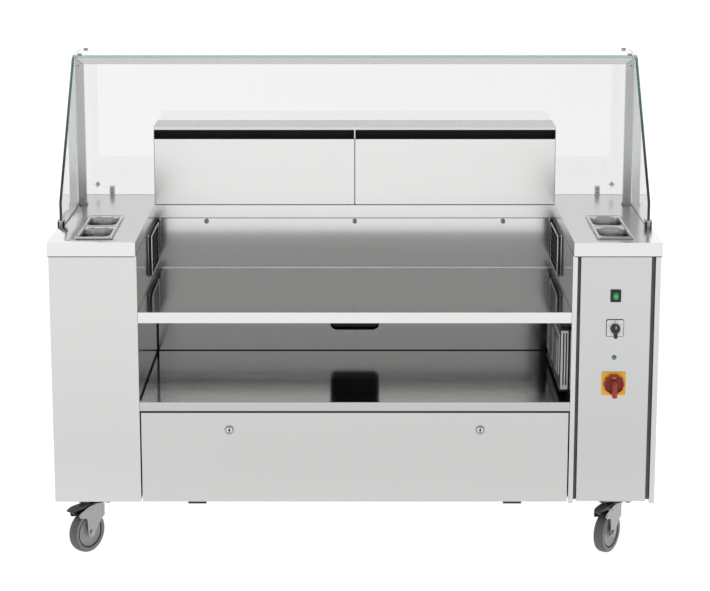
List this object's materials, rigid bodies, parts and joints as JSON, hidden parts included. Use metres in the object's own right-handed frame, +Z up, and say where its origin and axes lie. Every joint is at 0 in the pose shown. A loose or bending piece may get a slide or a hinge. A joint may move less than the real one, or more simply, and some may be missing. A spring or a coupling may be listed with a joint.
{
  "type": "mobile front cooking trolley",
  "caption": "Wheeled stainless cooking station: two pedestals, U-shaped worktop with open bay and shelves, rear suction hood, glass guard, control panel, braked swivel castors.",
  "frame": {"origin": "centre of the overall box in plan, at floor level under the castors", "axes": "+Z up, +X to the operator's right along the trolley's length, +Y from the operator to the guest side"},
  "size_m": [1.78, 0.885, 1.42],
  "materials": {
    "brushed_sheet": "brushed stainless sheet",
    "polished_pan": "bright pressed stainless",
    "galvanised": "zinc-coated sheet",
    "aluminium_section": "satin anodised",
    "zinc_plated": "bright zinc plate",
    "clear_glass": "clear toughened glass with a green edge",
    "black_plastic": "fine satin",
    "grey_plastic": "fine satin",
    "white_plastic": "satin",
    "red_plastic": "gloss",
    "yellow_plastic": "satin",
    "green_lens": "translucent lens",
    "wheel_rubber": "grey non-marking rubber tread on a plastic rim"
  },
  "bodies": {
    "chassis": {"floor_pan": "galvanised", "front_base_beam": "galvanised", "rear_base_beam": "galvanised", "fan_housing": "galvanised", "carbon_filter": "galvanised", "left_cabinet_shell": "brushed_sheet", "right_cabinet_shell": "brushed_sheet", "left_inner_panel": "brushed_sheet", "right_inner_panel": "brushed_sheet", "control_panel": "brushed_sheet", "worktop": "brushed_sheet", "upper_shelf": "brushed_sheet", "lower_shelf": "brushed_sheet", "bay_back_panel": "brushed_sheet", "rear_panel": "brushed_sheet", "hood_housing": "brushed_sheet", "grease_filter_left": "aluminium_section", "grease_filter_right": "aluminium_section", "left_post": "aluminium_section", "right_post": "aluminium_section", "top_rail": "aluminium_section", "left_glass_clamp": "aluminium_section", "right_glass_clamp": "aluminium_section", "left_side_glass": "clear_glass", "right_side_glass": "clear_glass", "rear_glass": "clear_glass", "top_glass": "clear_glass", "rocker_frame": "black_plastic", "cable_gland": "black_plastic", "fan_switch_plate": "white_plastic", "main_switch_plate": "yellow_plastic", "pilot_lamp": "green_lens", "socket_strip": "grey_plastic", "castor_plate_front_left": "zinc_plated", "castor_plate_front_right": "zinc_plated", "castor_plate_rear_left": "zinc_plated", "castor_plate_rear_right": "zinc_plated"},
    "fork_front_left": {"castor_fork_front_left": "zinc_plated"},
    "wheel_front_left": {"castor_wheel_front_left": "wheel_rubber"},
    "pedal_front_left": {"brake_pedal_front_left": "black_plastic"},
    "fork_front_right": {"castor_fork_front_right": "zinc_plated"},
    "wheel_front_right": {"castor_wheel_front_right": "wheel_rubber"},
    "pedal_front_right": {"brake_pedal_front_right": "black_plastic"},
    "fork_rear_left": {"castor_fork_rear_left": "zinc_plated"},
    "wheel_rear_left": {"castor_wheel_rear_left": "wheel_rubber"},
    "fork_rear_right": {"castor_fork_rear_right": "zinc_plated"},
    "wheel_rear_right": {"castor_wheel_rear_right": "wheel_rubber"},
    "service_panel": {"service_panel": "brushed_sheet"},
    "lock_left": {"panel_lock_left": "zinc_plated"},
    "lock_right": {"panel_lock_right": "zinc_plated"},
    "hood_cover_left": {"hood_cover_left": "brushed_sheet"},
    "hood_cover_right": {"hood_cover_right": "brushed_sheet"},
    "pan_left_front": {"pan_left_front": "polished_pan"},
    "pan_left_rear": {"pan_left_rear": "polished_pan"},
    "pan_right_front": {"pan_right_front": "polished_pan"},
    "pan_right_rear": {"pan_right_rear": "polished_pan"},
    "rocker": {"rocker_switch": "green_lens"},
    "fan_knob": {"fan_switch_knob": "black_plastic"},
    "main_knob": {"main_switch_knob": "red_plastic"},
    "impeller": {"fan_impeller": "aluminium_section"}
  },
  "joints": [
    {"name": "swivel_front_left", "type": "hinge", "parent": "chassis", "child": "fork_front_left", "pos_m": [-0.775, -0.3325, 0.15], "axis": [0, 0, 1], "continuous": true},
    {"name": "roll_front_left", "type": "hinge", "parent": "fork_front_left", "child": "wheel_front_left", "pos_m": [-0.80017, -0.36359, 0.0625], "axis": [0.7771, -0.6293, 0], "continuous": true},
    {"name": "brake_front_left", "type": "hinge", "parent": "fork_front_left", "child": "pedal_front_left", "pos_m": [-0.80269, -0.36669, 0.138], "axis": [0.7771, -0.6293, 0], "range_deg": [0, 8]},
    {"name": "swivel_front_right", "type": "hinge", "parent": "chassis", "child": "fork_front_right", "pos_m": [0.775, -0.3325, 0.15], "axis": [0, 0, 1], "continuous": true},
    {"name": "roll_front_right", "type": "hinge", "parent": "fork_front_right", "child": "wheel_front_right", "pos_m": [0.75321, -0.36605, 0.0625], "axis": [0.8387, -0.5446, 0], "continuous": true},
    {"name": "brake_front_right", "type": "hinge", "parent": "fork_front_right", "child": "pedal_front_right", "pos_m": [0.75104, -0.3694, 0.138], "axis": [0.8387, -0.5446, 0], "range_deg": [0, 8]},
    {"name": "swivel_rear_left", "type": "hinge", "parent": "chassis", "child": "fork_rear_left", "pos_m": [-0.775, 0.3375, 0.15], "axis": [0, 0, 1], "continuous": true},
    {"name": "roll_rear_left", "type": "hinge", "parent": "fork_rear_left", "child": "wheel_rear_left", "pos_m": [-0.80564, 0.36321, 0.0625], "axis": [-0.6428, -0.766, 0], "continuous": true},
    {"name": "swivel_rear_right", "type": "hinge", "parent": "chassis", "child": "fork_rear_right", "pos_m": [0.775, 0.3375, 0.15], "axis": [0, 0, 1], "continuous": true},
    {"name": "roll_rear_right", "type": "hinge", "parent": "fork_rear_right", "child": "wheel_rear_right", "pos_m": [0.75206, 0.37027, 0.0625], "axis": [-0.8192, -0.5736, 0], "continuous": true},
    {"name": "service_panel_tilt", "type": "hinge", "parent": "chassis", "child": "service_panel", "pos_m": [0, -0.3775, 0.165], "axis": [1, 0, 0], "range_deg": [0, 90]},
    {"name": "lock_left_turn", "type": "hinge", "parent": "service_panel", "child": "lock_left", "pos_m": [-0.369, -0.3975, 0.385], "axis": [0, 1, 0], "range_deg": [0, 90]},
    {"name": "lock_right_turn", "type": "hinge", "parent": "service_panel", "child": "lock_right", "pos_m": [0.369, -0.3975, 0.385], "axis": [0, 1, 0], "range_deg": [0, 90]},
    {"name": "hood_cover_left_tilt", "type": "hinge", "parent": "chassis", "child": "hood_cover_left", "pos_m": [-0.3155, 0.2195, 0.949], "axis": [1, 0, 0], "range_deg": [0, 80]},
    {"name": "hood_cover_right_tilt", "type": "hinge", "parent": "chassis", "child": "hood_cover_right", "pos_m": [0.3155, 0.2195, 0.949], "axis": [1, 0, 0], "range_deg": [0, 80]},
    {"name": "pan_left_front_lift", "type": "slide", "parent": "chassis", "child": "pan_left_front", "axis": [0, 0, 1], "range_m": [0, 0.12]},
    {"name": "pan_left_rear_lift", "type": "slide", "parent": "chassis", "child": "pan_left_rear", "axis": [0, 0, 1], "range_m": [0, 0.12]},
    {"name": "pan_right_front_lift", "type": "slide", "parent": "chassis", "child": "pan_right_front", "axis": [0, 0, 1], "range_m": [0, 0.12]},
    {"name": "pan_right_rear_lift", "type": "slide", "parent": "chassis", "child": "pan_right_rear", "axis": [0, 0, 1], "range_m": [0, 0.12]},
    {"name": "rocker_tilt", "type": "hinge", "parent": "chassis", "child": "rocker", "pos_m": [0.758, -0.3985, 0.7895], "axis": [1, 0, 0], "range_deg": [0, 10]},
    {"name": "fan_knob_turn", "type": "hinge", "parent": "chassis", "child": "fan_knob", "pos_m": [0.758, -0.4025, 0.6935], "axis": [0, 1, 0], "range_deg": [-60, 60]},
    {"name": "main_knob_turn", "type": "hinge", "parent": "chassis", "child": "main_knob", "pos_m": [0.758, -0.4025, 0.5265], "axis": [0, 1, 0], "range_deg": [0, 90]},
    {"name": "impeller_spin", "type": "hinge", "parent": "chassis", "child": "impeller", "pos_m": [0.22, -0.0025, 0.28], "axis": [0, 0, 1], "continuous": true}
  ]
}
